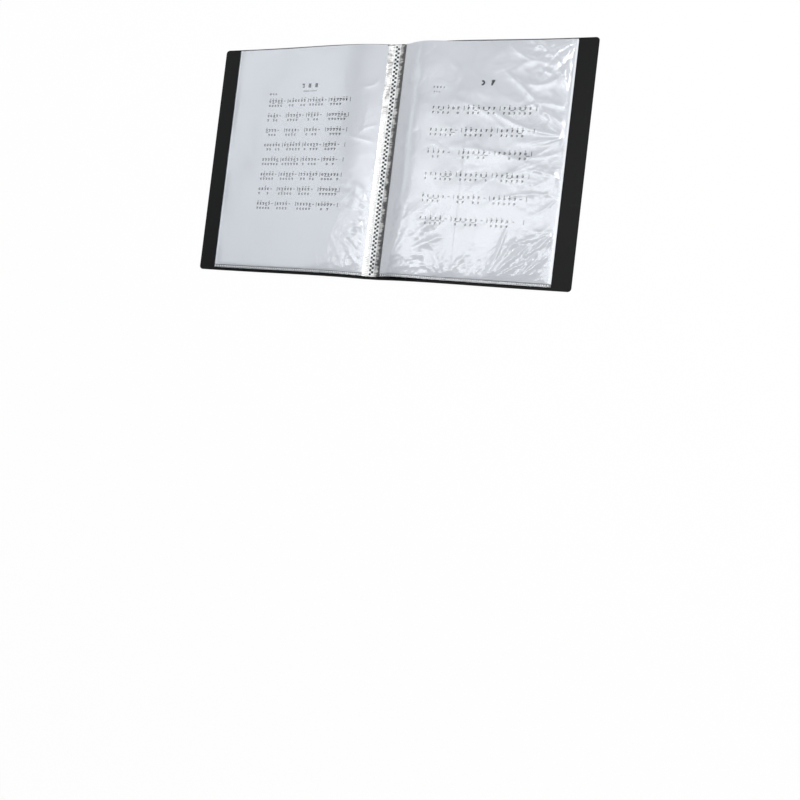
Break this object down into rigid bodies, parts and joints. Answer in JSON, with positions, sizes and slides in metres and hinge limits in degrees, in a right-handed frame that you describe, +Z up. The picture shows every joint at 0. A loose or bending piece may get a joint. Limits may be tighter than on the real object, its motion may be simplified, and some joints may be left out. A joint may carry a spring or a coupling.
{
  "type": "music folder",
  "caption": "Display-book music folder, lying open, with black plastic covers that fold at the spine and clear film pockets holding sheets of paper.",
  "frame": {"origin": "middle of the spine's underside, on the surface that the open folder lies on", "axes": "+X to the reader's right across the open folder, +Y up the pages to their top edge, +Z up out of the pages"},
  "size_m": [0.5, 0.308, 0.0116],
  "materials": {
    "cover_plastic": "black polypropylene sheet with a fine matt grain",
    "welded_film": "film puckered white around small clear weld diamonds",
    "clear_film": "clear glossy film, crumpled",
    "filled_pockets": "clear film over white paper",
    "white_paper": "plain white office paper with small dark print"
  },
  "bodies": {
    "spine": {"spine_panel": "cover_plastic", "pocket_weld": "welded_film", "left_pocket_roots": "clear_film", "right_pocket_roots": "clear_film"},
    "front_half": {"front_cover": "cover_plastic", "left_pockets": "filled_pockets", "left_sheet": "white_paper", "left_pocket_film": "clear_film"},
    "back_half": {"back_cover": "cover_plastic", "right_pockets": "filled_pockets", "right_sheet": "white_paper", "right_pocket_film": "clear_film"}
  },
  "joints": [
    {"name": "front_crease", "type": "hinge", "parent": "spine", "child": "front_half", "pos_m": [-0.01, 0, 0.00045], "axis": [0, 1, 0], "range_deg": [0, 90], "deforming": ["left_pocket_roots"]},
    {"name": "back_crease", "type": "hinge", "parent": "spine", "child": "back_half", "pos_m": [0.01, 0, 0.00045], "axis": [0, -1, 0], "range_deg": [0, 90], "deforming": ["right_pocket_roots"]}
  ]
}
